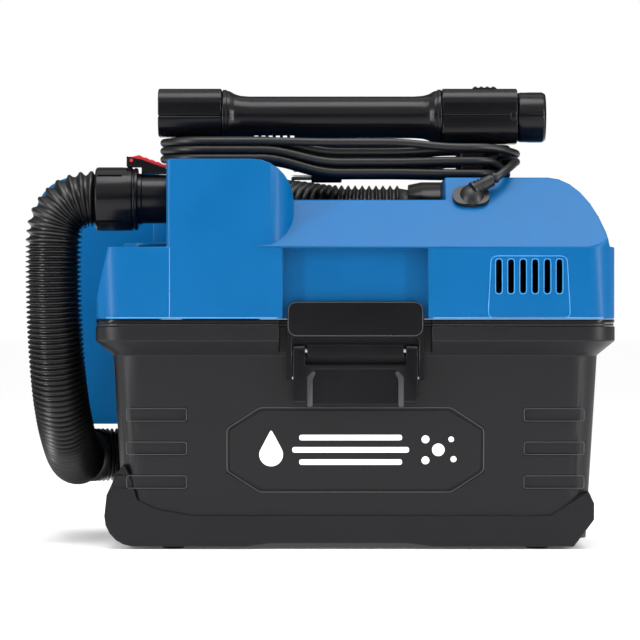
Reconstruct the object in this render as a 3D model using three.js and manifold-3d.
// A toolbox-shaped wet and dry vacuum cleaner, as an assembly of its separate pieces.
// Millimetres, +Z up, front towards -Y. The modelling frame has the tank's centre at
// x = 0, y = 0 and the floor at z = 0; the group is moved at the end, so that the
// middle of the machine's own footprint, cords left out, is the origin.
import * as THREE from "three";
import { mergeVertices } from "three/addons/utils/BufferGeometryUtils.js";
import Module from "manifold-3d";

const wasm = await Module();
wasm.setup();

// ---------------------------------------------------------------- driving sizes
const CLEAR = 0.3; // gap between two pieces that touch
const SLIDE = 0.8; // gap round a piece that slides or turns
const SIDES = 28; // flats on a large round
const SMALL_SIDES = 16; // flats on a small round

// Tank
const TANK_WIDTH = 445;
const TANK_DEPTH = 240;
const RIM_TOP = 191;
const RIM_BAND = 12.5; // upright band of the rim
const RIM_SLOPE = 12.5; // height of the slope under the band
const RIM_OVERHANG = 14.5; // how far the rim stands out from the wall
const TANK_DRAFT = 9; // how much narrower each wall is at the foot
const TANK_WALL = 3.5;
const TANK_CORNER = 26;
const TANK_FLOOR = 9; // underside of the tank's floor plate
const FOOT_HEIGHT = 3;
const FOOT_RADIUS = 11;
const FOOT_INSET_X = 66;
const FOOT_INSET_Y = 42;
const BASE_TOP = 29; // upper edge of the base band at mid width
const BASE_BOTTOM = FOOT_HEIGHT - 0.6;
const BASE_PROUD = 2.5;
const BUMPER_LEFT = 16; // how far each end of the base stands out from the wall
const BUMPER_RIGHT = 5.5;
const BUMPER_TOP = 73;
const GROOVE_HEIGHTS = [115.3, 86.6, 57.7];
const GROOVE_WIDE = 11.5;
const GROOVE_DEEP = 2.2;
const GROOVE_LONG = 55;
const BADGE_WIDE = 215;
const BADGE_HIGH = 68;
const BADGE_CUT = [27.6, 17];
const BADGE_BAND = 2.2; // width of the groove round the badge
const BADGE_MID = 85.3;

// Lid and cover
const SEAL_THICK = 2.2;
const DECK_THICK = 3.2;
const LID_INSET = 0.5; // the cover stands this far inside the rim on every side
const COVER_WALL = 3;
const COVER_CORNER = 24;
const SHOULDER = 258.8; // top of the low step on the left, and the front crease
const SADDLE_TOP = 300;
const HUMP_TOP = 320;
const HUMP_WIDTH = 144; // raised right part
const SHOULDER_WIDE = 55; // rounded right shoulder, across and up
const SHOULDER_HIGH = 98;
const STEP_WIDTH = 61; // step on the left, outside the inlet tower
const TOWER_WIDTH = 108;
const TOWER_TOP = 333.6;
const TOWER_BEND = 35;
const TOWER_CORNER = 28;
const FRONT_TO_CUFF = 69.5; // from the cover's front to the hose neck
const RECESS_HALF = 62; // latch recess, half its width
const RECESS_DEEP = 12;
const VENT_INSET = 100.1; // from the cover's right side to the first slot
const VENT_PITCH = 10.3;
const VENT_COUNT = 6;
const VENT_WIDE = 5;
const VENT_LOW = 219;
const VENT_HIGH = 248;

// Hose and its fittings
const HOSE_DIAMETER = 49;
const HOSE_BORE = 38;
const CUFF_DIAMETER = 55;
const CUFF_LONG = 37;
const NECK_DIAMETER = 42.5;
const NECK_SHOWN = 27;
const CUFF_Z = 301.5;
const STORED_CUFF_LONG = 54;
const STORED_CUFF_RISE = 1.5; // how far the stored cuff stands above the hump

// Handle, wand and cord posts
const GRIP_Z = 375.4;
const GRIP_DIAMETER = 37;
const GRIP_WALL = 2.2;
const POST_LEFT_INSET = 20.8; // from the tower's left side to the left post's middle
const POST_RIGHT_INSET = 28; // from the hump's left side to the right post's middle
const POST_WIDE = 32.6;
const POST_DEEP = 26;
const BLOCK_WALL = 4.5; // block round the grip
const LEFT_BLOCK_REACH = [-32.4, 23.4]; // block's ends, from its post's middle
const RIGHT_BLOCK_REACH = [-28.7, 37.4];
const BLOCK_RISE = 6.3; // block above the grip
const WAND_DIAMETER = 31;
const WAND_WALL = 2;
const WAND_LONG = 275;
const WAND_COLLAR_DIAMETER = 44;
const WAND_COLLAR_LONG = 25;

// Cord
const CORD_DIAMETER = 7.2;
const WINDING_BEND = 28.8; // radius of the innermost turn's ends, at its centreline
const WINDING_LAYERS = 2;

// Latch
const LATCH_HALF = 58.3;
const LATCH_TOP = 212.5;
const LATCH_PLATE_BOTTOM = 181.6;
const LATCH_ARM = 4.2;
const LATCH_ARM_BOTTOM = 143;
const LATCH_THICK = 4.5;
const LEVER_HALF = 53;
const LEVER_EAR = 10;
const LEVER_TOP = 175.4;
const LEVER_PANEL_TOP = 158.5;
const LEVER_BOTTOM = 125;
const LATCH_PIVOT_Z = 170;
const BAIL_PIVOT_Z = 147;
const LATCH_BACK_Y = 1.2; // gap between the latch's back and the face behind it

// Motor, blower and filter
const MOTOR_INSET = 34; // from the hump's left side
const MOTOR_Y = -8;
const MOTOR_RADIUS = 41;
const BLOWER_RADIUS = 62;
const BLOWER_HIGH = 26;
const MOTOR_TOP = 292;
const SHAFT_RADIUS = 4;
const FILTER_RADIUS = 52;
const FILTER_HIGH = 108;
const CAGE_RADIUS = 33;
const FLOAT_RADIUS = 19;
const FLOAT_TRAVEL = 24;

// Values that follow from the sizes above
const HALF_W = TANK_WIDTH / 2;
const HALF_D = TANK_DEPTH / 2;
const LID_HALF_W = HALF_W - LID_INSET;
const LID_HALF_D = HALF_D - LID_INSET;
const SEAL_BOTTOM = RIM_TOP + CLEAR;
const DECK_BOTTOM = SEAL_BOTTOM + SEAL_THICK + CLEAR;
const DECK_TOP = DECK_BOTTOM + DECK_THICK;
const COVER_BOTTOM = DECK_TOP + CLEAR;
const TOWER_LEFT = -LID_HALF_W + STEP_WIDTH;
const TOWER_RIGHT = TOWER_LEFT + TOWER_WIDTH;
const HUMP_LEFT = LID_HALF_W - HUMP_WIDTH;
const CUFF_Y = -LID_HALF_D + FRONT_TO_CUFF;
const STORED_HOSE_Y = LID_HALF_D - COVER_WALL - CUFF_DIAMETER / 2 - SLIDE - 2.2;
const STORED_HOSE_Z = HUMP_TOP + STORED_CUFF_RISE - CUFF_DIAMETER / 2;
const SHELF_FRONT = STORED_HOSE_Y - CUFF_DIAMETER / 2 - SLIDE - COVER_WALL - 0.7;
const VENT_FIRST = LID_HALF_W - VENT_INSET;
const MOTOR_X = HUMP_LEFT + MOTOR_INSET;
const POST_LEFT_X = TOWER_LEFT + POST_LEFT_INSET;
const POST_RIGHT_X = HUMP_LEFT + POST_RIGHT_INSET;
const LEFT_BLOCK = LEFT_BLOCK_REACH.map((reach) => POST_LEFT_X + reach);
const RIGHT_BLOCK = RIGHT_BLOCK_REACH.map((reach) => POST_RIGHT_X + reach);
const GRIP_RADIUS = GRIP_DIAMETER / 2;
const BLOCK_HALF_Y = GRIP_RADIUS + BLOCK_WALL;
const BLOCK_TOP = GRIP_Z + GRIP_RADIUS + BLOCK_RISE;
const LEFT_BLOCK_BOTTOM = GRIP_Z - GRIP_RADIUS + 1.1;
const RIGHT_BLOCK_BOTTOM = GRIP_Z - GRIP_RADIUS - BLOCK_WALL - 0.6;
const WINDING_LEFT = [TOWER_TOP + 2.4, LEFT_BLOCK_BOTTOM - 0.8]; // low and high point
const WINDING_RIGHT = [HUMP_TOP + 0.6, RIGHT_BLOCK_BOTTOM - 1.2];
const WALL_X = HALF_W - RIM_OVERHANG;
const WALL_Y = HALF_D - RIM_OVERHANG;
const SHELF_TOP = STORED_HOSE_Z - CUFF_DIAMETER / 2 - SLIDE;
const CUFF_RIGHT = TOWER_LEFT - NECK_SHOWN;
const CUFF_LEFT = CUFF_RIGHT - CUFF_LONG;

// ---------------------------------------------------------------- materials
const finish = (color, roughness, metalness = 0) =>
  new THREE.MeshStandardMaterial({ color, roughness, metalness });
const BLUE = finish("#0070b5", 0.38);
const CHARCOAL = finish("#2e2e32", 0.55);
const BLACK = finish("#17181b", 0.4);
const HOSE_BLACK = finish("#101012", 0.35);
const RUBBER = finish("#151517", 0.8);
const RED = finish("#b01020", 0.35);
const STEEL = finish("#a9adb2", 0.3, 1);
const COPPER = finish("#b4643a", 0.4, 1);
const BRASS = finish("#c8a55a", 0.3, 1);
const PLEATS = finish("#e6e2d6", 0.9);

// ---------------------------------------------------------------- solid helpers
function solid(geometry) {
  const bare = geometry.index ? geometry.toNonIndexed() : geometry.clone();
  bare.deleteAttribute("normal");
  bare.deleteAttribute("uv");
  const merged = mergeVertices(bare, 1e-3);
  return new wasm.Manifold(
    new wasm.Mesh({
      numProp: 3,
      vertProperties: merged.attributes.position.array,
      triVerts: new Uint32Array(merged.index.array),
    }),
  );
}

function geometryOf(body) {
  const mesh = body.getMesh();
  const indexed = new THREE.BufferGeometry();
  indexed.setAttribute("position", new THREE.BufferAttribute(mesh.vertProperties, 3));
  indexed.setIndex(new THREE.BufferAttribute(mesh.triVerts, 1));
  const flat = indexed.toNonIndexed();
  flat.computeVertexNormals();
  return flat;
}

const group = new THREE.Group();
function place(name, body, material) {
  const mesh = new THREE.Mesh(geometryOf(body), material);
  mesh.name = name;
  group.add(mesh);
  return mesh;
}

// An outline swept along an axis. The outline's first coordinate is x (or y along X),
// its second is z (or y along Z).
const TURNS = {
  x: new THREE.Matrix4().set(0, 0, 1, 0, 1, 0, 0, 0, 0, 1, 0, 0, 0, 0, 0, 1),
  y: new THREE.Matrix4().set(1, 0, 0, 0, 0, 0, -1, 0, 0, 1, 0, 0, 0, 0, 0, 1),
  z: new THREE.Matrix4(),
};
function sweep(axis, points, from, to, steps = 1) {
  const outline = new THREE.Shape(points.map((p) => new THREE.Vector2(p[0], p[1])));
  const options = { depth: to - from, bevelEnabled: false, steps };
  const made = new THREE.ExtrudeGeometry(outline, options);
  made.translate(0, 0, axis === "y" ? -to : from);
  return made.applyMatrix4(TURNS[axis]);
}
const prism = (axis, points, from, to) => solid(sweep(axis, points, from, to));

function arc(cx, cy, r, from, to, count) {
  const points = [];
  for (let i = 0; i <= count; i++) {
    const angle = ((from + ((to - from) * i) / count) * Math.PI) / 180;
    points.push([cx + r * Math.cos(angle), cy + r * Math.sin(angle)]);
  }
  return points;
}

function circle(cx, cy, r, sides = SIDES) {
  return arc(cx, cy, r, 180 / sides, 360 + 180 / sides, sides).slice(0, -1);
}

// A rectangle from its low and high corners, with rounded corners.
function rounded(x0, y0, x1, y1, r, count = 4) {
  return [
    ...arc(x1 - r, y1 - r, r, 0, 90, count),
    ...arc(x0 + r, y1 - r, r, 90, 180, count),
    ...arc(x0 + r, y0 + r, r, 180, 270, count),
    ...arc(x1 - r, y0 + r, r, 270, 360, count),
  ];
}

const rect = (x0, y0, x1, y1) => [[x0, y0], [x1, y0], [x1, y1], [x0, y1]];
const block = (x0, x1, y0, y1, z0, z1) => prism("z", rect(x0, y0, x1, y1), z0, z1);
const rod = (axis, a, b, r, from, to, sides = SIDES) =>
  prism(axis, circle(a, b, r, sides), from, to);
const pipe = (axis, a, b, outer, inner, from, to, sides = SIDES) =>
  rod(axis, a, b, outer, from, to, sides).subtract(
    rod(axis, a, b, inner, from - 1, to + 1, sides),
  );
const join = (...bodies) => bodies.reduce((all, one) => all.add(one));
const cut = (body, ...tools) => tools.reduce((left, tool) => left.subtract(tool), body);

// A round body on the vertical axis through (x, y), from its closed half outline.
function turned(x, y, outline, sides = SIDES) {
  const points = outline.map((p) => new THREE.Vector2(p[0], p[1]));
  points.push(points[0].clone());
  const made = new THREE.LatheGeometry(points, sides);
  made.rotateX(Math.PI / 2);
  made.translate(x, y, 0);
  const body = solid(made);
  return body.volume() < 0 ? solid(flipped(made)) : body;
}

function flipped(geometry) {
  const index = geometry.index.array;
  for (let i = 0; i < index.length; i += 3) {
    const first = index[i];
    index[i] = index[i + 1];
    index[i + 1] = first;
  }
  return geometry;
}

// A rounded rectangle about the origin that follows levels of [z, inset] up its height.
function tapered(halfX, halfY, corner, levels, count = 5) {
  const outline = rounded(-halfX, -halfY, halfX, halfY, corner, count);
  const made = sweep("z", outline, 0, levels.length - 1, levels.length - 1);
  const at = made.attributes.position;
  for (let i = 0; i < at.count; i++) {
    const [z, inset] = levels[Math.round(at.getZ(i))];
    at.setXYZ(i, at.getX(i) * (1 - inset / halfX), at.getY(i) * (1 - inset / halfY), z);
  }
  return solid(made);
}

function tube(points, diameter, sides, steps) {
  const path = new THREE.CatmullRomCurve3(points.map((p) => new THREE.Vector3(...p)));
  const section = new THREE.Shape(
    circle(0, 0, diameter / 2, sides).map((p) => new THREE.Vector2(...p)),
  );
  return solid(
    new THREE.ExtrudeGeometry(section, { steps, bevelEnabled: false, extrudePath: path }),
  );
}

// ---------------------------------------------------------------- tank
function tankShape(inset, floor, top) {
  return tapered(HALF_W, HALF_D, TANK_CORNER, [
    [floor, RIM_OVERHANG + TANK_DRAFT + inset],
    [RIM_TOP - RIM_BAND - RIM_SLOPE, RIM_OVERHANG + inset],
    [RIM_TOP - RIM_BAND, inset],
    [top, inset],
  ]);
}

function baseOutline() {
  const left = -WALL_X + TANK_DRAFT;
  const right = WALL_X - TANK_DRAFT;
  const out = left - BUMPER_LEFT;
  const low = BASE_BOTTOM;
  return [
    ...arc(out + 26, low + 26, 26, 180, 265, 5),
    [-95, low],
    [-72, low + 3],
    [44, low + 3],
    [68, low],
    [right - 12, low],
    [right + BUMPER_RIGHT, low + 23],
    [right + BUMPER_RIGHT, low + 37],
    [right + 1, low + 47],
    [right - 8, low + 42],
    [right - 32, BASE_TOP],
    [left + 60, BASE_TOP],
    [left + 30, low + 32],
    [left + 12, low + 40],
    [left + 5, BUMPER_TOP - 8],
    [left + 1, BUMPER_TOP],
    [left - 6, BUMPER_TOP - 9],
    [out + 2, low + 44],
  ];
}

function badgeOutline(grow) {
  const w = BADGE_WIDE / 2 + grow;
  const h = BADGE_HIGH / 2 + grow;
  const [cx, cz] = BADGE_CUT;
  const z = BADGE_MID;
  return [
    [-w + cx, z - h], [w - cx, z - h], [w, z - h + cz], [w, z + h - cz],
    [w - cx, z + h], [-w + cx, z + h], [-w, z + h - cz], [-w, z - h + cz],
  ];
}

// The front wall's y at a height, from its draft.
function frontWall(z) {
  const share = (z - TANK_FLOOR) / (RIM_TOP - RIM_BAND - RIM_SLOPE - TANK_FLOOR);
  return -(WALL_Y - TANK_DRAFT * (1 - share));
}


// Leans a solid that was drawn against y = 0 back onto the drafted front wall.
function onFrontWall(outline, from, to) {
  const made = sweep("y", outline, from, to);
  const at = made.attributes.position;
  for (let i = 0; i < at.count; i++) at.setY(i, at.getY(i) + frontWall(at.getZ(i)));
  return solid(made);
}

function grooves() {
  const inner = WALL_X - TANK_DRAFT - GROOVE_LONG;
  return GROOVE_HEIGHTS.flatMap((z) =>
    [-1, 1].map((side) => {
      const ends = [side * inner, side * (HALF_W + 5)].sort((a, b) => a - b);
      const outline = rect(ends[0], z - GROOVE_WIDE / 2, ends[1], z + GROOVE_WIDE / 2);
      return onFrontWall(outline, -6, GROOVE_DEEP);
    }),
  );
}

const NOTCH_HALF = RECESS_HALF + 3;
const NOTCH_BACK = -HALF_D + RECESS_DEEP;
const NOTCH_BOTTOM = RIM_TOP - RIM_BAND - RIM_SLOPE - 4;
function tank() {
  const outer = tankShape(0, TANK_FLOOR, RIM_TOP);
  const inner = tankShape(TANK_WALL, TANK_FLOOR + TANK_WALL, RIM_TOP + 5);
  const baseFront = frontWall(BASE_TOP) - BASE_PROUD;
  const base = prism("y", baseOutline(), baseFront, -baseFront);
  const notchWall = block(
    -NOTCH_HALF - TANK_WALL, NOTCH_HALF + TANK_WALL, -HALF_D, NOTCH_BACK + TANK_WALL,
    NOTCH_BOTTOM, RIM_TOP,
  ).intersect(outer);
  const notch = block(
    -NOTCH_HALF, NOTCH_HALF, -HALF_D - 5, NOTCH_BACK, NOTCH_BOTTOM - 20, RIM_TOP + 1,
  );
  const shell = join(outer, base).subtract(inner).add(notchWall);
  return cut(shell, notch, onFrontWall(badgeOutline(BADGE_BAND), -6, 1.4), ...grooves());
}

function foot(x, y) {
  const low = [[0, 0], [FOOT_RADIUS - 2, 0], [FOOT_RADIUS, BASE_BOTTOM - CLEAR]];
  return turned(x, y, [...low, [0, BASE_BOTTOM - CLEAR]]);
}

// ---------------------------------------------------------------- lid
function lidOutline(inset, zLow, zHigh) {
  const half = [LID_HALF_W - inset, LID_HALF_D - inset];
  const corner = Math.max(COVER_CORNER - inset, 4);
  const plate = prism("z", rounded(-half[0], -half[1], half[0], half[1], corner), zLow, zHigh);
  const notch = NOTCH_HALF + inset;
  return plate.subtract(
    block(-notch, notch, -HALF_D - 5, NOTCH_BACK + inset, zLow - 1, zHigh + 1),
  );
}

const INLET_X = TOWER_LEFT + TOWER_WIDTH / 2;
const INLET_RADIUS = NECK_DIAMETER / 2 + SLIDE;
const INLET_WALL = 2.6;
const BLOWER_EYE = 15;

function lidSeal() {
  const high = SEAL_BOTTOM + SEAL_THICK;
  return lidOutline(0.6, SEAL_BOTTOM, high).subtract(lidOutline(8, SEAL_BOTTOM - 2, high + 2));
}

const SKIRT_INSET = 6.5;
function deck() {
  const plate = lidOutline(0, DECK_BOTTOM, DECK_TOP);
  const skirtLow = DECK_BOTTOM - 12;
  const skirt = lidOutline(SKIRT_INSET + 2.5, skirtLow, DECK_BOTTOM + 1).subtract(
    lidOutline(SKIRT_INSET + 5, skirtLow - 1, DECK_BOTTOM + 2),
  );
  const inlet = INLET_RADIUS + INLET_WALL + CLEAR;
  return cut(
    join(plate, skirt),
    rod("z", INLET_X, CUFF_Y, inlet, DECK_BOTTOM - 1, DECK_TOP + 1),
    rod("z", MOTOR_X, MOTOR_Y, BLOWER_EYE, DECK_BOTTOM - 1, DECK_TOP + 1),
  );
}

// Everything below the slope that rises from the front crease at 45 degrees.
function underSlope(inset) {
  const far = 400;
  const front = -LID_HALF_D + inset;
  const crease = SHOULDER - 0.4 * inset;
  const outline = [
    [front, -10], [far, -10], [far, crease + far - front], [front, crease],
  ];
  return prism("x", outline, -far, far);
}

// The cover's outer form, or its hollow when inset by the wall.
function coverForm(inset) {
  const low = inset ? COVER_BOTTOM - 5 : COVER_BOTTOM;
  const right = LID_HALF_W - inset;
  const back = LID_HALF_D - inset;
  const front = -back;
  const corner = COVER_CORNER - inset;
  const foot = prism("z", rounded(-right, front, right, back, corner), low, SHOULDER - inset);
  const leanLeft = prism(
    "y",
    [
      [-right, low], [right, low], [right, SHOULDER + 200], [-right + 60, SHOULDER + 200],
      [-right + 11, SHOULDER - inset], [-right, SHOULDER - 45],
    ],
    front - 1,
    back + 1,
  );
  const top = HUMP_TOP - inset;
  const bend = SHOULDER_WIDE;
  const rise = SHOULDER_HIGH;
  const shoulder = arc(0, 0, 1, 0, 90, 9).map(([x, z]) => [
    right - bend + bend * x - 1 + z,
    top - rise + rise * z,
  ]);
  const humpSide = prism(
    "y",
    [[HUMP_LEFT + inset, low], [right, low], ...shoulder, [HUMP_LEFT + inset, top]],
    front,
    back,
  );
  const humpPlan = prism(
    "z", rounded(HUMP_LEFT + inset - 60, front, right, back, corner), low, top + 1,
  );
  const backChamfer = prism(
    "x",
    [[front - 1, low - 1], [back + 1, low - 1], [back + 1, top - 22], [back - 18, top + 1],
      [front - 1, top + 1]],
    -300,
    300,
  );
  const hump = humpSide.intersect(humpPlan).intersect(backChamfer);
  const saddle = block(
    TOWER_LEFT + 20, HUMP_LEFT + 20, front, SHELF_FRONT - inset, low, SADDLE_TOP - inset,
  );
  const sloped = join(foot.intersect(leanLeft), hump, saddle).intersect(underSlope(inset));
  const shelf = prism(
    "z", rounded(-right + 14, SHELF_FRONT - 12, right - 20, back, corner), low, SHELF_TOP - inset,
  );
  const hoseRoom = block(
    -right - 1, HUMP_LEFT + inset, SHELF_FRONT - inset, back + 1, SHELF_TOP - inset, HUMP_TOP,
  );
  return join(cut(sloped, hoseRoom), shelf, tower(inset, low));
}

function tower(inset, low) {
  const x0 = TOWER_LEFT + inset;
  const x1 = TOWER_RIGHT - inset;
  const y0 = -LID_HALF_D + inset;
  const y1 = SHELF_FRONT - inset;
  const top = TOWER_TOP - inset;
  const bend = TOWER_BEND - inset;
  const side = [
    [x0, low], [x1, low],
    ...arc(x1 - bend, top - bend, bend, 0, 90, 7),
    ...arc(x0 + 3, top - 3, 3, 90, 180, 2),
  ];
  const plan = [
    ...arc(x1 - TOWER_CORNER + inset, y0 + TOWER_CORNER - inset, TOWER_CORNER - inset, -90, 0, 5),
    ...arc(x1 - 14, y1 - 14, 14, 0, 90, 3),
    ...arc(x0 + 6, y1 - 6, 6, 90, 180, 2),
    ...arc(x0 + 4, y0 + 4, 4, 180, 270, 2),
  ];
  return prism("y", side, y0, y1).intersect(prism("z", plan, low, top));
}

const CRADLE_DEEP = 26; // how far the stored cuff reaches into its cradle
function cradle(outer) {
  const y0 = STORED_HOSE_Y;
  const r = CUFF_DIAMETER / 2 + SLIDE;
  const filler = block(
    HUMP_LEFT, HUMP_LEFT + CRADLE_DEEP + COVER_WALL, y0 - r - COVER_WALL, LID_HALF_D,
    STORED_HOSE_Z - r - COVER_WALL, HUMP_TOP,
  ).intersect(outer);
  const trough = join(
    rod("x", y0, STORED_HOSE_Z, r, HUMP_LEFT - 5, HUMP_LEFT + CRADLE_DEEP),
    block(
      HUMP_LEFT - 5, HUMP_LEFT + CRADLE_DEEP, y0 - r, y0 + r, STORED_HOSE_Z, HUMP_TOP + 20,
    ),
  );
  return { filler, trough };
}

const SLOT_TOP = SHOULDER - 1.5;
const SWITCH_X = LID_HALF_W - 72;
const SWITCH_Z = 262;
const SWITCH_HALF = [14, 8];
const BOSS_X = [-LID_HALF_W + 16, -LID_HALF_W + 40];
const BOSS_Z = [215, 243];
const PASS = 2; // screw radius
function ventSlots() {
  const slots = [];
  for (let i = 0; i < VENT_COUNT; i++) {
    const x = VENT_FIRST + i * VENT_PITCH;
    const half = VENT_WIDE / 2;
    const outline = rounded(x - half, VENT_LOW, x + half, VENT_HIGH, half - 0.05, 2);
    slots.push(prism("y", outline, -LID_HALF_D - 5, -LID_HALF_D + COVER_WALL + 2));
  }
  return slots;
}

function cover() {
  const outer = coverForm(0);
  const recessBack = -LID_HALF_D + RECESS_DEEP;
  const recessWall = block(
    -RECESS_HALF - COVER_WALL, RECESS_HALF + COVER_WALL, -LID_HALF_D, recessBack + COVER_WALL,
    COVER_BOTTOM, SLOT_TOP + COVER_WALL,
  ).intersect(outer);
  const recess = block(
    -RECESS_HALF, RECESS_HALF, -LID_HALF_D - 5, recessBack, COVER_BOTTOM - 5, SLOT_TOP,
  );
  const { filler, trough } = cradle(outer);
  const bosses = BOSS_Z.flatMap((z) =>
    BOSS_X.map((x) => rod("y", x, z, 6, LID_HALF_D - 2, POD_FRONT - CLEAR, SMALL_SIDES)),
  );
  const [sx, sz] = SWITCH_HALF;
  const switchHole = block(
    SWITCH_X - sx - CLEAR, SWITCH_X + sx + CLEAR, LID_HALF_D - 10, LID_HALF_D + 5,
    SWITCH_Z - sz - CLEAR, SWITCH_Z + sz + CLEAR,
  );
  const neck = rod("x", CUFF_Y, CUFF_Z, INLET_RADIUS, TOWER_LEFT - 5, TOWER_LEFT + 8);
  return cut(
    join(outer.subtract(coverForm(COVER_WALL)), recessWall, filler, ...bosses),
    recess, trough, switchHole, neck, ...ventSlots(),
  );
}

// ---------------------------------------------------------------- hose wrap behind the tank
const POD_FRONT = HALF_D + 1.2;
const POD_DEEP = 40;
const POD_LEFT = -LID_HALF_W - 70;
const POD_RIGHT = -LID_HALF_W + 44;
const POD_TOP = 328;
const POD_BOTTOM = 101;
const POD_WALL = 3;
function podOutline(inset) {
  const [x0, x1] = [POD_LEFT + inset, POD_RIGHT - inset];
  const [z0, z1] = [POD_BOTTOM + inset, POD_TOP - inset];
  return [
    ...arc(x1 - 12, z1 - 12, 12, 0, 90, 3),
    ...arc(x0 + 38 - inset, z1 - 38 + inset, 38 - inset, 90, 180, 7),
    ...arc(x0 + 24 - inset, z0 + 24 - inset, 24 - inset, 180, 270, 4),
    ...arc(x1 - 12, z0 + 12, 12, 270, 360, 3),
  ];
}
function hoseWrap() {
  const shell = prism("y", podOutline(0), POD_FRONT, POD_FRONT + POD_DEEP).subtract(
    prism("y", podOutline(POD_WALL), POD_FRONT + POD_WALL, POD_FRONT + POD_DEEP + 1),
  );
  const rib = block(
    POD_LEFT + 1, POD_RIGHT - 1, POD_FRONT + 1, POD_FRONT + POD_DEEP - 6, 187, 190,
  );
  const holes = BOSS_Z.flatMap((z) =>
    BOSS_X.map((x) => rod("y", x, z, PASS, POD_FRONT - 1, POD_FRONT + POD_WALL + 1, 12)),
  );
  return cut(join(shell, rib), ...holes);
}

// ---------------------------------------------------------------- air path
const ELBOW_BEND = 34;
function elbowPath(extra) {
  const x0 = TOWER_LEFT + COVER_WALL + CLEAR - extra;
  const low = DECK_BOTTOM - 26 - extra;
  const z = CUFF_Z;
  const points = [[x0, CUFF_Y, z], [INLET_X - ELBOW_BEND - 2, CUFF_Y, z]];
  for (const [x, up] of arc(INLET_X - ELBOW_BEND, z - ELBOW_BEND, ELBOW_BEND, 90, 0, 6)) {
    points.push([x, CUFF_Y, up]);
  }
  points.push([INLET_X, CUFF_Y, z - ELBOW_BEND - 6]);
  points.push([INLET_X, CUFF_Y, (z + low) / 2 - 20], [INLET_X, CUFF_Y, low]);
  return points;
}
function inletElbow() {
  const outer = tube(elbowPath(0), 2 * (INLET_RADIUS + INLET_WALL), 16, 14);
  return outer.subtract(tube(elbowPath(3), 2 * INLET_RADIUS, 16, 14));
}

const BLOWER_LOW = DECK_TOP + CLEAR;
const BLOWER_TOP = BLOWER_LOW + BLOWER_HIGH;
const PORT = [MOTOR_X + 8, MOTOR_X + 52]; // the blower's outlet, towards the front vents
function fanHousing() {
  const drum = rod("z", MOTOR_X, MOTOR_Y, BLOWER_RADIUS, BLOWER_LOW, BLOWER_TOP);
  const hollow = rod(
    "z", MOTOR_X, MOTOR_Y, BLOWER_RADIUS - 2.5, BLOWER_LOW + 2.5, BLOWER_TOP - 2.5,
  );
  const port = block(
    PORT[0] + 2.5, PORT[1] - 2.5, MOTOR_Y - BLOWER_RADIUS - 5, MOTOR_Y,
    BLOWER_LOW + 2.5, BLOWER_TOP - 2.5,
  );
  return cut(
    drum, hollow, port,
    rod("z", MOTOR_X, MOTOR_Y, BLOWER_EYE, BLOWER_LOW - 1, BLOWER_LOW + 4),
    rod("z", MOTOR_X, MOTOR_Y, SHAFT_RADIUS + 1, BLOWER_TOP - 5, BLOWER_TOP + 1),
  );
}

function exhaustDuct() {
  const y0 = -LID_HALF_D + COVER_WALL + CLEAR;
  const y1 = MOTOR_Y - BLOWER_RADIUS + 14;
  const x0 = VENT_FIRST - 6;
  const x1 = VENT_FIRST + (VENT_COUNT - 1) * VENT_PITCH + 6;
  const z1 = VENT_HIGH + 4;
  const drum = rod("z", MOTOR_X, MOTOR_Y, BLOWER_RADIUS + CLEAR, BLOWER_LOW - 1, z1 + 1);
  return cut(
    block(x0, x1, y0, y1, BLOWER_LOW, z1),
    block(x0 + 2, x1 - 2, y0 - 1, y1 + 1, BLOWER_LOW + 2, z1 - 2),
    drum,
  );
}

function impeller() {
  const low = BLOWER_LOW + 5;
  const back = rod("z", MOTOR_X, MOTOR_Y, BLOWER_RADIUS - 8, low + 12, low + 14);
  const hub = rod("z", MOTOR_X, MOTOR_Y, 11, low + 3, low + 13, SMALL_SIDES);
  const blades = [];
  for (let i = 0; i < 7; i++) {
    const blade = sweep("z", rect(9, -1, BLOWER_RADIUS - 9, 1), low, low + 13);
    blade.rotateZ((i * 2 * Math.PI) / 7);
    blades.push(solid(blade.translate(MOTOR_X, MOTOR_Y, 0)));
  }
  const bore = rod("z", MOTOR_X, MOTOR_Y, SHAFT_RADIUS + CLEAR, low - 5, low + 20, 16);
  return join(back, hub, ...blades).subtract(bore);
}

const MOTOR_LOW = BLOWER_TOP + CLEAR;
function motorHousing() {
  const outer = rod("z", MOTOR_X, MOTOR_Y, MOTOR_RADIUS, MOTOR_LOW, MOTOR_TOP);
  const inner = rod("z", MOTOR_X, MOTOR_Y, MOTOR_RADIUS - 3, MOTOR_LOW + 3, MOTOR_TOP - 3);
  const openings = [0, 60, 120].map((turn) => {
    const slot = sweep("z", rect(-60, -9, 60, 9), MOTOR_LOW + 6, MOTOR_LOW + 12);
    slot.rotateZ((turn * Math.PI) / 180);
    return solid(slot.translate(MOTOR_X, MOTOR_Y, 0));
  });
  const bore = rod("z", MOTOR_X, MOTOR_Y, BEARING_RADIUS + CLEAR, MOTOR_LOW - 1, MOTOR_LOW + 4);
  return cut(outer, inner, ...openings, bore);
}

const BEARING_RADIUS = 11;
const bearing = (low, high) =>
  pipe("z", MOTOR_X, MOTOR_Y, BEARING_RADIUS, SHAFT_RADIUS + 0.1, low, high, 20);
const STATOR_LOW = MOTOR_LOW + 15;
const STATOR_TOP = STATOR_LOW + 26;
const ARMATURE_RADIUS = 22;

function motorShaft() {
  return rod("z", MOTOR_X, MOTOR_Y, SHAFT_RADIUS, BLOWER_LOW + 6, MOTOR_TOP - 4, 20);
}
const onShaft = (radius, low, high, sides) =>
  pipe("z", MOTOR_X, MOTOR_Y, radius, SHAFT_RADIUS + CLEAR, low, high, sides);

function brush(side) {
  const x = MOTOR_X + side * 22;
  return block(x - 7.5, x + 7.5, MOTOR_Y - 4, MOTOR_Y + 4, STATOR_TOP + 5, STATOR_TOP + 13);
}

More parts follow.
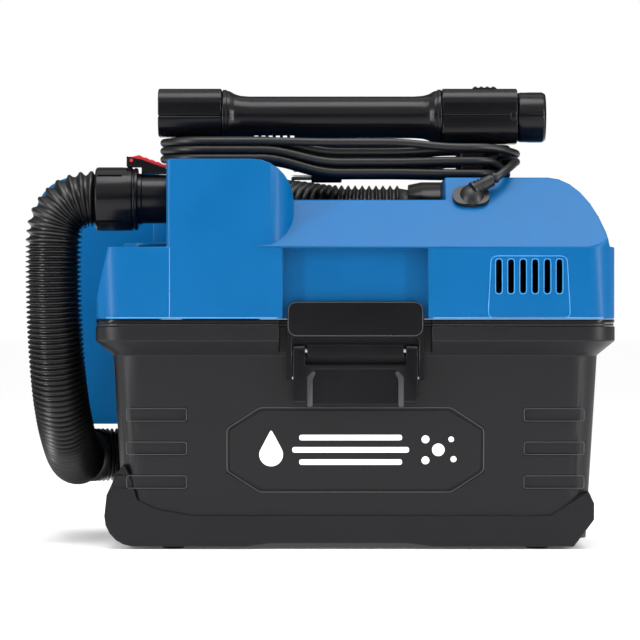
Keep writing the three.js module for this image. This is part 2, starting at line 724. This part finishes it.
// ---------------------------------------------------------------- filter
const CAGE_TOP = DECK_BOTTOM - CLEAR;
const CAGE_LOW = CAGE_TOP - FILTER_HIGH;
function filterCage() {
  const flange = pipe("z", MOTOR_X, MOTOR_Y, FILTER_RADIUS, BLOWER_EYE + 1, CAGE_TOP - 3, CAGE_TOP);
  const wall = pipe("z", MOTOR_X, MOTOR_Y, CAGE_RADIUS, CAGE_RADIUS - 2.5, CAGE_LOW, CAGE_TOP - 2);
  const floor = rod("z", MOTOR_X, MOTOR_Y, CAGE_RADIUS - 1, CAGE_LOW, CAGE_LOW + 3);
  const windows = [];
  for (let i = 0; i < 4; i++) {
    const window = sweep("z", rect(-60, -7, 60, 7), CAGE_LOW + 12, CAGE_TOP - 14);
    window.rotateZ((i * Math.PI) / 4);
    windows.push(solid(window.translate(MOTOR_X, MOTOR_Y, 0)));
  }
  return cut(join(flange, wall), ...windows).add(floor);
}
function filterCartridge() {
  const low = CAGE_LOW + 2;
  const high = CAGE_TOP - 3 - CLEAR;
  const outer = [];
  const pleats = 22;
  for (let i = 0; i < pleats * 2; i++) {
    const r = i % 2 ? FILTER_RADIUS - 5 : FILTER_RADIUS;
    const angle = (i * Math.PI) / pleats;
    outer.push([MOTOR_X + r * Math.cos(angle), MOTOR_Y + r * Math.sin(angle)]);
  }
  return prism("z", outer, low, high).subtract(
    rod("z", MOTOR_X, MOTOR_Y, CAGE_RADIUS + SLIDE, low - 1, high + 1),
  );
}
function filterCap() {
  const low = CAGE_LOW - CLEAR - 4;
  const plate = rod("z", MOTOR_X, MOTOR_Y, FILTER_RADIUS - 1, low, low + 4);
  return plate.add(block(MOTOR_X - 16, MOTOR_X + 16, MOTOR_Y - 3, MOTOR_Y + 3, low - 9, low + 1));
}
function floatBall() {
  const ball = new THREE.SphereGeometry(FLOAT_RADIUS, 20, 14);
  const z = CAGE_TOP - 3 - FLOAT_TRAVEL - FLOAT_RADIUS + 6;
  return solid(ball.rotateX(Math.PI / 2).translate(MOTOR_X, MOTOR_Y, z));
}

// ---------------------------------------------------------------- switch at the back
const SWITCH_FACE = LID_HALF_D;
function switchBody() {
  const [sx, sz] = SWITCH_HALF;
  const flange = block(
    SWITCH_X - sx - 2.5, SWITCH_X + sx + 2.5, SWITCH_FACE + CLEAR, SWITCH_FACE + 2,
    SWITCH_Z - sz - 2.5, SWITCH_Z + sz + 2.5,
  );
  const body = block(
    SWITCH_X - sx, SWITCH_X + sx, SWITCH_FACE - 22, SWITCH_FACE + 1,
    SWITCH_Z - sz, SWITCH_Z + sz,
  );
  const seat = block(
    SWITCH_X - sx + 2, SWITCH_X + sx - 2, SWITCH_FACE - 12, SWITCH_FACE + 5,
    SWITCH_Z - sz + 1.2, SWITCH_Z + sz - 1.2,
  );
  return join(flange, body).subtract(seat);
}
function switchRocker() {
  const [sx, sz] = SWITCH_HALF;
  const reach = sz - 2.2;
  const y = SWITCH_FACE;
  const outline = [
    [y - 1, SWITCH_Z - reach], [y + 2.4, SWITCH_Z - reach], [y + 2.6, SWITCH_Z],
    [y + 4.4, SWITCH_Z + reach], [y + 1, SWITCH_Z + reach], [y - 4, SWITCH_Z],
  ];
  return prism("x", outline, SWITCH_X - sx + 2.6, SWITCH_X + sx - 2.6);
}

// ---------------------------------------------------------------- front latch
const LATCH_BACK = NOTCH_BACK - LATCH_BACK_Y - 4.3; // back of the bail plate
const LEVER_BACK = NOTCH_BACK - 0.6;
const LEVER_THICK = 9.8;
const LEVER_FRONT = LEVER_BACK - LEVER_THICK;
const PIVOT_Y = (LEVER_BACK + LEVER_FRONT) / 2;
const BAIL_PIVOT_Y = LATCH_BACK - LATCH_THICK / 2;
const PIN_RADIUS = 2;
const EAR_INNER = LEVER_HALF - LEVER_EAR;

function latchBail() {
  const y0 = LATCH_BACK - LATCH_THICK;
  const w = LATCH_HALF;
  const inner = w - LATCH_ARM;
  const plate = prism(
    "y",
    [
      ...arc(w - 9, LATCH_TOP - 9, 9, 0, 90, 4),
      ...arc(-w + 9, LATCH_TOP - 9, 9, 90, 180, 4),
      ...arc(-w + LATCH_ARM / 2, LATCH_ARM_BOTTOM + 2, LATCH_ARM / 2, 180, 360, 4),
      ...arc(-inner + 4, LATCH_PLATE_BOTTOM - 4, 4, 180, 90, 3),
      ...arc(inner - 4, LATCH_PLATE_BOTTOM - 4, 4, 90, 0, 3),
      ...arc(w - LATCH_ARM / 2, LATCH_ARM_BOTTOM + 2, LATCH_ARM / 2, 180, 360, 4),
    ],
    y0,
    LATCH_BACK,
  );
  const holes = [-1, 1].map((side) =>
    rod("x", BAIL_PIVOT_Y, BAIL_PIVOT_Z, 1.2 + CLEAR / 2, side < 0 ? -w - 1 : inner - 1,
      side < 0 ? -inner + 1 : w + 1, 12),
  );
  return cut(plate, ...holes);
}

function latchLever() {
  const half = LEVER_THICK / 2;
  const ear = [
    ...arc(PIVOT_Y, LEVER_TOP - half, half, 0, 180, 6),
    [LEVER_FRONT, LEVER_BOTTOM + 2], [LEVER_FRONT + 2, LEVER_BOTTOM],
    [LEVER_BACK - 1, LEVER_BOTTOM], [LEVER_BACK, LEVER_BOTTOM + 1],
  ];
  const ears = prism("x", ear, -LEVER_HALF, LEVER_HALF);
  const gap = block(
    -EAR_INNER, EAR_INNER, LEVER_FRONT - 1, LEVER_BACK + 1, LEVER_PANEL_TOP, LEVER_TOP + 5,
  );
  const pull = prism(
    "y",
    [
      [-41, LEVER_BOTTOM - 2], [41, LEVER_BOTTOM - 2], [41, 148], [34, 154.5], [-34, 154.5],
      [-41, 148],
    ],
    LEVER_FRONT - 1,
    LEVER_FRONT + 4,
  );
  const pin = rod(
    "x", PIVOT_Y, LATCH_PIVOT_Z, PIN_RADIUS + CLEAR, -LEVER_HALF - 1, LEVER_HALF + 1, 16,
  );
  const sockets = rod(
    "x", BAIL_PIVOT_Y, BAIL_PIVOT_Z, 1.2 + CLEAR, -LEVER_HALF - 1, LEVER_HALF + 1, 12,
  ).subtract(rod("x", BAIL_PIVOT_Y, BAIL_PIVOT_Z, 3, -LEVER_HALF + 5, LEVER_HALF - 5, 12));
  return cut(ears, gap, pull, pin, sockets);
}

function latchBracket() {
  const w = EAR_INNER - 2;
  const bar = block(
    -w, w, PIVOT_Y - 3.6, NOTCH_BACK - CLEAR, LATCH_PIVOT_Z - 5, LATCH_PIVOT_Z + 5.4,
  );
  const bore = rod("x", PIVOT_Y, LATCH_PIVOT_Z, PIN_RADIUS + 0.1, -w - 1, w + 1, 16);
  return bar.subtract(bore);
}

// ---------------------------------------------------------------- handle and cord posts
const GRIP_RIGHT = RIGHT_BLOCK[1] - 1;
const GRIP_BORE = GRIP_DIAMETER / 2 + CLEAR;
const SPIGOT_RADIUS = 12; // plug of the grip that the left post holds
const SPIGOT_LONG = 20;
const BUTTON_X = [POST_RIGHT_X - 1.5, POST_RIGHT_X + 19.5];
const BUTTON_HALF_Y = 7;
const BUTTON_TOP = BLOCK_TOP + 2.2;

function gripSeat([x0, x1]) {
  if (x0 === LEFT_BLOCK[0]) {
    return rod("x", 0, GRIP_Z, SPIGOT_RADIUS + CLEAR, x1 - SPIGOT_LONG, x1 + 1, 20);
  }
  return rod("x", 0, GRIP_Z, GRIP_BORE, x0 - 1, x1 + 1);
}

function handleBlock(ends, bottom, low, high) {
  const outline = rounded(-BLOCK_HALF_Y, bottom, BLOCK_HALF_Y, BLOCK_TOP, 14, 4);
  const wide = BLOCK_HALF_Y + 1;
  const half = block(ends[0] - 1, ends[1] + 1, -wide, wide, low, high);
  return prism("x", outline, ...ends).intersect(half);
}

function post(x, foot, ends, bottom) {
  const half = POST_WIDE / 2;
  const deep = POST_DEEP / 2;
  const column = prism("z", rounded(x - half, -deep, x + half, deep, 10), foot, bottom + 8);
  return join(column, handleBlock(ends, bottom, bottom, GRIP_Z)).subtract(gripSeat(ends));
}

function cap(ends, bottom) {
  const made = handleBlock(ends, bottom, GRIP_Z + CLEAR, BLOCK_TOP).subtract(gripSeat(ends));
  if (ends !== RIGHT_BLOCK) return made;
  const wide = BUTTON_HALF_Y + SLIDE / 2;
  const pocket = block(
    BUTTON_X[0] - SLIDE / 2, BUTTON_X[1] + SLIDE / 2, -wide, wide, BLOCK_TOP - 8, BLOCK_TOP + 1,
  );
  return made.subtract(pocket);
}

// A round body along X through the grip's axis, from its closed half outline [x, radius].
function turnedAlongX(outline, z = GRIP_Z, y = 0, sides = SIDES) {
  const points = outline.map((p) => new THREE.Vector2(p[1], p[0]));
  points.push(points[0].clone());
  const made = new THREE.LatheGeometry(points, sides);
  made.rotateZ(-Math.PI / 2);
  made.translate(0, y, z);
  const volume = signedVolume(made);
  return solid(volume < 0 ? flipped(made) : made);
}

function signedVolume(geometry) {
  const flat = geometry.toNonIndexed().attributes.position;
  const [a, b, c] = [new THREE.Vector3(), new THREE.Vector3(), new THREE.Vector3()];
  let sum = 0;
  for (let i = 0; i < flat.count; i += 3) {
    a.fromBufferAttribute(flat, i);
    b.fromBufferAttribute(flat, i + 1);
    c.fromBufferAttribute(flat, i + 2);
    sum += a.dot(b.cross(c)) / 6;
  }
  return sum;
}

const FLARE = GRIP_RADIUS + 5; // radius of the grip's two ends
function grip() {
  const r = GRIP_DIAMETER / 2;
  const inner = r - GRIP_WALL;
  const left = LEFT_BLOCK[1] + CLEAR;
  const right = RIGHT_BLOCK[0] - CLEAR;
  const spigot = left - SPIGOT_LONG + 1;
  return turnedAlongX([
    [left + 3, inner], [GRIP_RIGHT, inner], [GRIP_RIGHT, r], [right + 0.2, r], [right, FLARE],
    [right - 6, FLARE], [right - 16, r + 0.6], [right - 30, r], [left + 30, r],
    [left + 16, r + 0.6], [left + 6, FLARE], [left, FLARE], [left - 0.2, SPIGOT_RADIUS],
    [spigot, SPIGOT_RADIUS], [spigot, SPIGOT_RADIUS - 3], [left + 3, SPIGOT_RADIUS - 3],
  ]);
}

function wand() {
  const r = WAND_DIAMETER / 2;
  const collar = RIGHT_BLOCK[1] + CLEAR;
  const end = collar + WAND_COLLAR_LONG;
  const bore = r - WAND_WALL;
  return turnedAlongX([
    [end - WAND_LONG, bore], [end, bore], [end, WAND_COLLAR_DIAMETER / 2 - 1],
    [end - 1, WAND_COLLAR_DIAMETER / 2], [collar, WAND_COLLAR_DIAMETER / 2], [collar, r],
    [end - WAND_LONG, r],
  ]);
}

function wandButton() {
  const [x0, x1] = BUTTON_X;
  const body = block(x0, x1, -BUTTON_HALF_Y, BUTTON_HALF_Y, BUTTON_TOP - 5.6, BUTTON_TOP - 1);
  const ribs = [0, 1, 2, 3].map((i) =>
    block(x0 + 1 + i * 5.3, x0 + 3.6 + i * 5.3, -BUTTON_HALF_Y + 1, BUTTON_HALF_Y - 1,
      BUTTON_TOP - 2, BUTTON_TOP),
  );
  return join(body, ...ribs);
}

// ---------------------------------------------------------------- hose fittings
const STORED_RIGHT = HUMP_LEFT + CRADLE_DEEP - CLEAR;
const STORED_LEFT = STORED_RIGHT - STORED_CUFF_LONG;
function hoseCuff() {
  const r = CUFF_DIAMETER / 2;
  const neck = NECK_DIAMETER / 2;
  const bore = HOSE_BORE / 2;
  const end = TOWER_LEFT + COVER_WALL + CLEAR + 18;
  return turnedAlongX(
    [
      [CUFF_LEFT, bore], [end, bore], [end, neck - 0.4], [CUFF_RIGHT + 2, neck],
      [CUFF_RIGHT + 2, r - 2], [CUFF_RIGHT, r], [CUFF_LEFT + 1.5, r], [CUFF_LEFT, r - 1.5],
    ],
    CUFF_Z,
    CUFF_Y,
  );
}
function storedCuff() {
  const r = CUFF_DIAMETER / 2;
  const bore = HOSE_BORE / 2;
  return turnedAlongX(
    [
      [STORED_LEFT, bore], [STORED_RIGHT, bore], [STORED_RIGHT, r - 1.5],
      [STORED_RIGHT - 1.5, r], [STORED_LEFT + 12, r], [STORED_LEFT, r - 2.5],
    ],
    STORED_HOSE_Z,
    STORED_HOSE_Y,
  );
}

const BRACKET_HALF_Y = 9;
const BRACKET_CHEEK = 3;
const LEVER_PIN_RADIUS = 1.5;
const LEVER_PIN_FIT = 0.1;
const LEVER_HUB_RADIUS = 3.6;
const LEVER_TEETH = 4;
const LEVER_PIVOT_X = CUFF_RIGHT - 6;
const LEVER_PIVOT_Z = CUFF_Z + CUFF_DIAMETER / 2 + 5.9;
function leverBracket() {
  const low = CUFF_Z + NECK_DIAMETER / 2 + CLEAR;
  const y0 = CUFF_Y - BRACKET_HALF_Y;
  const y1 = CUFF_Y + BRACKET_HALF_Y;
  const right = TOWER_LEFT - 2.4;
  const cheek = [
    [CUFF_RIGHT + 3, low], [right, low], [right, LEVER_PIVOT_Z - 7],
    [LEVER_PIVOT_X + 10, LEVER_PIVOT_Z + 0.5], [LEVER_PIVOT_X - 4, LEVER_PIVOT_Z + 3.5],
    [LEVER_PIVOT_X - 4, CUFF_Z + CUFF_DIAMETER / 2 + CLEAR],
    [CUFF_RIGHT + 3, CUFF_Z + CUFF_DIAMETER / 2 + CLEAR],
  ];
  const body = prism("y", cheek, y0, y1);
  const slot = block(
    LEVER_PIVOT_X - 10, right + 5, y0 + BRACKET_CHEEK, y1 - BRACKET_CHEEK,
    CUFF_Z + CUFF_DIAMETER / 2 - 3.9, BLOCK_TOP,
  );
  const bore = LEVER_PIN_RADIUS + LEVER_PIN_FIT;
  const pin = rod("y", LEVER_PIVOT_X, LEVER_PIVOT_Z, bore, y0 - 1, y1 + 1, 12);
  return cut(body, slot, pin);
}
function releaseLever() {
  const y0 = CUFF_Y - BRACKET_HALF_Y + BRACKET_CHEEK + CLEAR;
  const y1 = CUFF_Y + BRACKET_HALF_Y - BRACKET_CHEEK - CLEAR;
  const [x, z] = [LEVER_PIVOT_X, LEVER_PIVOT_Z];
  const right = TOWER_LEFT - 2.6;
  const steps = [];
  const pitch = (right - x - 9) / LEVER_TEETH;
  for (let i = LEVER_TEETH - 1; i >= 0; i--) {
    const at = x + 7 + i * pitch;
    steps.push([at + pitch - 1, z + 2.4 - i * 1.9], [at, z + 4.8 - i * 1.9]);
  }
  const outline = [
    [x + 4, z - 3], [right, z - 6.2], [right, z - 3.4], ...steps,
    ...arc(x, z, LEVER_HUB_RADIUS, 70, 290, 6),
  ];
  const bore = rod("y", x, z, LEVER_PIN_RADIUS + CLEAR, y0 - 1, y1 + 1, 12);
  return prism("y", outline, y0, y1).subtract(bore);
}
function leverPin() {
  const [y0, y1] = [CUFF_Y - BRACKET_HALF_Y, CUFF_Y + BRACKET_HALF_Y];
  return rod("y", LEVER_PIVOT_X, LEVER_PIVOT_Z, LEVER_PIN_RADIUS, y0, y1, 12);
}

// Chosen by hand: down the left side, under the hose wrap, up behind the tank and
// along the shelf to the stored cuff.
const HOSE_POINTS = [
  [-225.6, -50, 301.5], [-230.5, -50, 301.5], [-238, -50, 300.4], [-246.5, -50, 297],
  [-254, -50, 290.5], [-259.2, -50, 281.8], [-261.5, -50, 269], [-262, -50, 250],
  [-262, -49, 226], [-261.5, -47, 202], [-260.5, -43, 176], [-259, -37, 150],
  [-257, -27, 126], [-254.5, -10, 104], [-252, 14, 87], [-250.5, 44, 76.5],
  [-250, 76, 72], [-250, 104, 71.5], [-249, 127, 71.5], [-240.5, 148.5, 71.5],
  [-219, 157, 71.5], [-190, 157, 71.5], [-168, 157, 76], [-150, 157, 92],
  [-141, 156, 120], [-138, 155, 160], [-137, 154, 200], [-134, 152, 238],
  [-124, 148, 269], [-104, 138, 291], [-78, 122, 301], [-50, 103, 299],
  [-22, 90, 295], [10, 86, 294], [30, 86, 294], [49.4, 86, 294],
];

// ---------------------------------------------------------------- power cord
const BOOT_UP = 43; // height of the boot's foot above the crease, on the slope
const BOOT = [HUMP_LEFT + 23, -LID_HALF_D + BOOT_UP, SHOULDER + BOOT_UP];
const BOOT_DOME_RADIUS = 10.5;
const BOOT_SPOUT_RADIUS = 5.6;
function inBootFrame(geometry) {
  geometry.rotateX(Math.PI / 4);
  return geometry.translate(...BOOT);
}
function bootOutline(grow) {
  return rounded(-17 - grow, -12 - grow, 15 + grow, 11 + grow, 10 + grow, 4);
}
function cordBoot() {
  const flange = solid(inBootFrame(sweep("z", bootOutline(0), CLEAR, 4)));
  const dome = new THREE.SphereGeometry(BOOT_DOME_RADIUS, 16, 10);
  dome.scale(1.1, 1, 1.25);
  dome.rotateX(Math.PI / 2);
  const cut45 = solid(inBootFrame(sweep("z", rect(-40, -40, 40, 40), CLEAR, 60)));
  const body = solid(inBootFrame(dome)).intersect(cut45);
  const spout = solid(
    new THREE.ExtrudeGeometry(
      new THREE.Shape(circle(0, 0, BOOT_SPOUT_RADIUS, 12).map((p) => new THREE.Vector2(...p))),
      {
        steps: 1,
        bevelEnabled: false,
        extrudePath: new THREE.LineCurve3(
          new THREE.Vector3(BOOT[0] + 2, BOOT[1] - 2.5, BOOT[2] + 7.2),
          new THREE.Vector3(BOOT[0] + 17, BOOT[1] + 1.5, BOOT[2] + 15.2),
        ),
      },
    ),
  );
  return join(flange, body, spout);
}
const LEAD_POINTS = [
  [118.3, -74.9, 317.2], [123, -73, 320], [129, -67, 324.5], [134.5, -57, 329],
  [138.5, -44, 332.5], [141, -30, 334.5],
];
const TAIL_POINTS = [
  [78, 44.6, 335], [62, 48, 334], [46, 54, 333], [30, 61.5, 332], [17, 67.3, 331.2],
  [9, 68, 331], [3.7, 68, 331],
];

const WINDING_SLACK = 0.5;
const RING_INNER = WINDING_BEND - CORD_DIAMETER / 2;
const RING_OUTER = RING_INNER + WINDING_LAYERS * CORD_DIAMETER;
const RING_LEFT = POST_LEFT_X - POST_WIDE / 2 - WINDING_SLACK + RING_INNER;
const RING_RIGHT = POST_RIGHT_X + POST_WIDE / 2 + 1.5 - RING_INNER;

function stadium(r, count = 12) {
  return [...arc(RING_LEFT, 0, r, 90, 270, count), ...arc(RING_RIGHT, 0, r, -90, 90, count)];
}
function windingLevel(x) {
  const from = TOWER_RIGHT - TOWER_BEND + 12;
  const to = TOWER_RIGHT + 25;
  const share = THREE.MathUtils.smoothstep(x, from, to);
  return [0, 1].map((k) => THREE.MathUtils.lerp(WINDING_LEFT[k], WINDING_RIGHT[k], share));
}
function cordWinding() {
  const stops = [RING_LEFT - 60, TOWER_RIGHT - 47];
  for (let dx = -37; dx <= 33; dx += 7) stops.push(TOWER_RIGHT + dx);
  stops.push(RING_RIGHT + 60);
  const low = stops.map((x) => [x, windingLevel(x)[0]]);
  const high = stops.map((x) => [x, windingLevel(x)[1]]).reverse();
  const band = prism("y", [...low, ...high], -60, 60);
  const ring = prism("z", stadium(RING_OUTER), 310, 365).subtract(
    prism("z", stadium(RING_INNER), 300, 370),
  );
  return ring.intersect(band);
}

const PLUG = { x0: -38, x1: 3.4, y: 68, z: 331 };
function plug() {
  const { x0, x1, y, z } = PLUG;
  const body = prism("x", rounded(y - 12, z - 10.5, y + 12, z + 10.5, 7, 3), x0, x1 - 14);
  const neck = rod("x", y, z, 6, x1 - 15, x1, 12);
  const bores = [-6.3, 6.3].map((dy) =>
    block(x0 - 1, x0 + 2, y + dy - 1.1, y + dy + 1.1, z - 1, z + 6),
  );
  const ground = rod("x", y, z - 6, 2.7, x0 - 1, x0 + 2, 12);
  return cut(join(body, neck), ...bores, ground);
}
function plugBlade(side) {
  const { x0, y, z } = PLUG;
  const at = y + side * 6.3;
  return block(x0 - 16, x0 + 1.7, at - 0.75, at + 0.75, z - 0.7, z + 5.7);
}
function plugGround() {
  const { x0, y, z } = PLUG;
  return rod("x", y, z - 6, 2.4, x0 - 18, x0 + 1.7, 12);
}

// ---------------------------------------------------------------- the machine
place("tank", tank(), CHARCOAL);
const footX = [-HALF_W + FOOT_INSET_X, HALF_W - FOOT_INSET_X];
const footY = [-HALF_D + FOOT_INSET_Y, HALF_D - FOOT_INSET_Y];
place("foot_front_left", foot(footX[0], footY[0]), RUBBER);
place("foot_front_right", foot(footX[1], footY[0]), RUBBER);
place("foot_back_left", foot(footX[0], footY[1]), RUBBER);
place("foot_back_right", foot(footX[1], footY[1]), RUBBER);
place("badge_panel", onFrontWall(badgeOutline(0), 0.1, 1.1), CHARCOAL);
place("latch_bracket", latchBracket(), BLACK);
place("latch_pin", rod("x", PIVOT_Y, LATCH_PIVOT_Z, PIN_RADIUS, -LEVER_HALF, LEVER_HALF, 16), STEEL);
place("latch_lever", latchLever(), BLACK);
place("bail_pin_left", rod("x", BAIL_PIVOT_Y, BAIL_PIVOT_Z, 1.2, -LATCH_HALF, -LEVER_HALF + 4.5, 12), STEEL);
place("bail_pin_right", rod("x", BAIL_PIVOT_Y, BAIL_PIVOT_Z, 1.2, LEVER_HALF - 4.5, LATCH_HALF, 12), STEEL);
place("latch_bail", latchBail(), BLACK);

place("lid_seal", lidSeal(), RUBBER);
place("deck", deck(), CHARCOAL);
place("cover", cover(), BLUE);
place("hose_wrap", hoseWrap(), BLUE);
place("inlet_elbow", inletElbow(), BLACK);
place("fan_housing", fanHousing(), BLACK);
place("exhaust_duct", exhaustDuct(), BLACK);
place("motor_housing", motorHousing(), BLACK);
place("stator", onStator(), STEEL);
place("bearing_lower", bearing(MOTOR_LOW + 0.3, MOTOR_LOW + 5), STEEL);
place("bearing_upper", bearing(MOTOR_TOP - 12, MOTOR_TOP - 7), STEEL);
place("brush_left", brush(-1), BRASS);
place("brush_right", brush(1), BRASS);
place("motor_shaft", motorShaft(), STEEL);
place("armature", onShaft(ARMATURE_RADIUS, STATOR_LOW, STATOR_TOP, 24), COPPER);
place("commutator", onShaft(13, STATOR_TOP + 3, STATOR_TOP + 15, 20), COPPER);
place("impeller", impeller(), BLACK);
place("filter_cage", filterCage(), BLACK);
place("filter_cartridge", filterCartridge(), PLEATS);
place("filter_cap", filterCap(), BLACK);
place("float_ball", floatBall(), RED);
place("switch_body", switchBody(), BLACK);
place("switch_rocker", switchRocker(), BLACK);

place("post_left", post(POST_LEFT_X, TOWER_TOP + CLEAR, LEFT_BLOCK, LEFT_BLOCK_BOTTOM), BLACK);
place(
  "post_right",
  post(POST_RIGHT_X, HUMP_TOP + CLEAR, RIGHT_BLOCK, RIGHT_BLOCK_BOTTOM),
  BLACK,
);
place("cap_left", cap(LEFT_BLOCK, LEFT_BLOCK_BOTTOM), BLACK);
place("cap_right", cap(RIGHT_BLOCK, RIGHT_BLOCK_BOTTOM), BLACK);
place("grip", grip(), BLACK);
place("wand", wand(), BLACK);
place("wand_button", wandButton(), BLACK);

place("hose_cuff", hoseCuff(), BLACK);
place("lever_bracket", leverBracket(), BLACK);
place("release_lever", releaseLever(), RED);
place("lever_pin", leverPin(), RED);

const cords = [
  place("hose", tube(HOSE_POINTS, HOSE_DIAMETER, 10, 60), HOSE_BLACK),
  place("stored_cuff", storedCuff(), BLACK),
  place("cord_boot", cordBoot(), RUBBER),
  place("cord_lead", tube(LEAD_POINTS, CORD_DIAMETER, 8, 8), RUBBER),
  place("cord_winding", cordWinding(), RUBBER),
  place("cord_tail", tube(TAIL_POINTS, CORD_DIAMETER, 8, 8), RUBBER),
  place("plug", plug(), RUBBER),
  place("plug_blade_front", plugBlade(-1), BRASS),
  place("plug_blade_back", plugBlade(1), BRASS),
  place("plug_ground_pin", plugGround(), BRASS),
];

function onStator() {
  const outer = rod("z", MOTOR_X, MOTOR_Y, MOTOR_RADIUS - 3 - CLEAR, STATOR_LOW, STATOR_TOP);
  const bore = rod("z", MOTOR_X, MOTOR_Y, ARMATURE_RADIUS + SLIDE, STATOR_LOW - 1, STATOR_TOP + 1);
  return outer.subtract(bore);
}

const footprint = new THREE.Box3();
for (const mesh of group.children) {
  if (!cords.includes(mesh)) footprint.expandByObject(mesh);
}
const middle = footprint.getCenter(new THREE.Vector3());
group.position.set(-middle.x, -middle.y, -footprint.min.z);

export default group;
